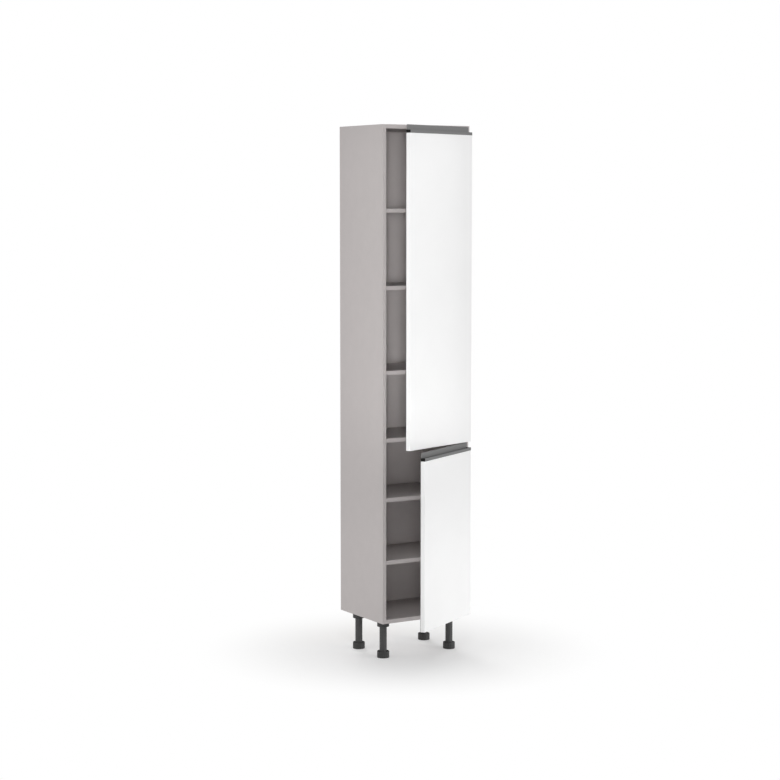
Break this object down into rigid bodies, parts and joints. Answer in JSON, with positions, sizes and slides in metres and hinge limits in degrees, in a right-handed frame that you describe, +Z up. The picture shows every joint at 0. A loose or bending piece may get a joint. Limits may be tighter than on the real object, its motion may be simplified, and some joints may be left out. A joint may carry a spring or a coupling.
{
  "type": "tall kitchen cabinet",
  "caption": "Narrow tall kitchen cabinet on levelling legs: grey board carcass with shelves behind two white handle-profile doors on concealed hinges.",
  "frame": {"origin": "on the floor, under the centre of the carcass, in the middle of the four feet", "axes": "+Z up; the doors face -Y; +X to the right seen from the front, the side on which the doors hang"},
  "size_m": [0.4019, 0.545, 2.1],
  "materials": {
    "grey_carcass_board": "matt grey melamine facing",
    "grey_back_board": "matt grey lacquered fibreboard",
    "white_door_board": "matt white lacquer",
    "anthracite_aluminium": "anodised anthracite, satin",
    "black_plastic": "moulded, fine texture",
    "plated_steel": "nickel plated",
    "beech_dowel": "bare turned beech"
  },
  "bodies": {
    "carcass": {"back_panel": "grey_back_board", "bottom_panel": "grey_carcass_board", "cam_bolts": "plated_steel", "cam_locks": "plated_steel", "carcass_screws": "plated_steel", "dowels": "beech_dowel", "fixed_shelf": "grey_carcass_board", "hinge_arm_lower_door_1": "plated_steel", "hinge_arm_lower_door_2": "plated_steel", "hinge_arm_pins": "plated_steel", "hinge_arm_upper_door_1": "plated_steel", "hinge_arm_upper_door_2": "plated_steel", "hinge_arm_upper_door_3": "plated_steel", "hinge_plate_lower_door_1": "plated_steel", "hinge_plate_lower_door_2": "plated_steel", "hinge_plate_upper_door_1": "plated_steel", "hinge_plate_upper_door_2": "plated_steel", "hinge_plate_upper_door_3": "plated_steel", "hinge_screws": "plated_steel", "leg_socket_front_left": "black_plastic", "leg_socket_front_right": "black_plastic", "leg_socket_rear_left": "black_plastic", "leg_socket_rear_right": "black_plastic", "leg_tube_front_left": "black_plastic", "leg_tube_front_right": "black_plastic", "leg_tube_rear_left": "black_plastic", "leg_tube_rear_right": "black_plastic", "shelf_1": "grey_carcass_board", "shelf_2": "grey_carcass_board", "shelf_3": "grey_carcass_board", "shelf_4": "grey_carcass_board", "shelf_5": "grey_carcass_board", "shelf_pins": "plated_steel", "side_panel_left": "grey_carcass_board", "side_panel_right": "grey_carcass_board", "top_panel": "grey_carcass_board", "wall_bracket_left": "plated_steel", "wall_bracket_right": "plated_steel"},
    "foot_front_left": {"foot_front_left": "black_plastic"},
    "foot_front_right": {"foot_front_right": "black_plastic"},
    "foot_rear_left": {"foot_rear_left": "black_plastic"},
    "foot_rear_right": {"foot_rear_right": "black_plastic"},
    "lower_door": {"lower_door_cup_pins": "plated_steel", "lower_door_cup_screws": "plated_steel", "lower_door_handle": "anthracite_aluminium", "lower_door_handle_caps": "black_plastic", "lower_door_handle_screws": "plated_steel", "lower_door_hinge_cups": "plated_steel", "lower_door_panel": "white_door_board"},
    "lower_inner_links": {"lower_door_inner_links": "plated_steel"},
    "lower_outer_links": {"lower_door_outer_links": "plated_steel"},
    "upper_door": {"upper_door_cup_pins": "plated_steel", "upper_door_cup_screws": "plated_steel", "upper_door_handle": "anthracite_aluminium", "upper_door_handle_caps": "black_plastic", "upper_door_handle_screws": "plated_steel", "upper_door_hinge_cups": "plated_steel", "upper_door_panel": "white_door_board"},
    "upper_inner_links": {"upper_door_inner_links": "plated_steel"},
    "upper_outer_links": {"upper_door_outer_links": "plated_steel"}
  },
  "joints": [
    {"name": "foot_front_left_height", "type": "slide", "parent": "carcass", "child": "foot_front_left", "axis": [0, 0, -1], "range_m": [0, 0.02]},
    {"name": "foot_front_right_height", "type": "slide", "parent": "carcass", "child": "foot_front_right", "axis": [0, 0, -1], "range_m": [0, 0.02]},
    {"name": "foot_rear_left_height", "type": "slide", "parent": "carcass", "child": "foot_rear_left", "axis": [0, 0, -1], "range_m": [0, 0.02]},
    {"name": "foot_rear_right_height", "type": "slide", "parent": "carcass", "child": "foot_rear_right", "axis": [0, 0, -1], "range_m": [0, 0.02]},
    {"name": "lower_outer_link_pivot", "type": "hinge", "parent": "carcass", "child": "lower_outer_links", "pos_m": [0.167, -0.1515, 0.483], "axis": [0, 0, 1], "range_deg": [-16.95, 7.85]},
    {"name": "lower_door_pivot", "type": "hinge", "parent": "lower_outer_links", "child": "lower_door", "pos_m": [0.18684, -0.17319, 0.483], "axis": [0, 0, 1], "range_deg": [-37.8, 81.9]},
    {"name": "lower_inner_link_pivot", "type": "hinge", "parent": "carcass", "child": "lower_inner_links", "pos_m": [0.1725, -0.1588, 0.483], "axis": [0, 0, 1], "range_deg": [-9.15, 4.25]},
    {"name": "upper_outer_link_pivot", "type": "hinge", "parent": "carcass", "child": "upper_outer_links", "pos_m": [0.167, -0.1515, 1.31], "axis": [0, 0, 1], "range_deg": [-19.55, 5.25]},
    {"name": "upper_door_pivot", "type": "hinge", "parent": "upper_outer_links", "child": "upper_door", "pos_m": [0.1878, -0.17227, 1.31], "axis": [0, 0, 1], "range_deg": [-25.2, 94.5]},
    {"name": "upper_inner_link_pivot", "type": "hinge", "parent": "carcass", "child": "upper_inner_links", "pos_m": [0.1725, -0.1588, 1.31], "axis": [0, 0, 1], "range_deg": [-10.55, 2.85]}
  ],
  "couplings": [
    {"joint": "lower_outer_link_pivot", "follows": "lower_door_pivot", "ratio": -0.20635},
    {"joint": "lower_inner_link_pivot", "follows": "lower_door_pivot", "ratio": -0.11111},
    {"joint": "upper_outer_link_pivot", "follows": "upper_door_pivot", "ratio": -0.20635},
    {"joint": "upper_inner_link_pivot", "follows": "upper_door_pivot", "ratio": -0.11111}
  ]
}
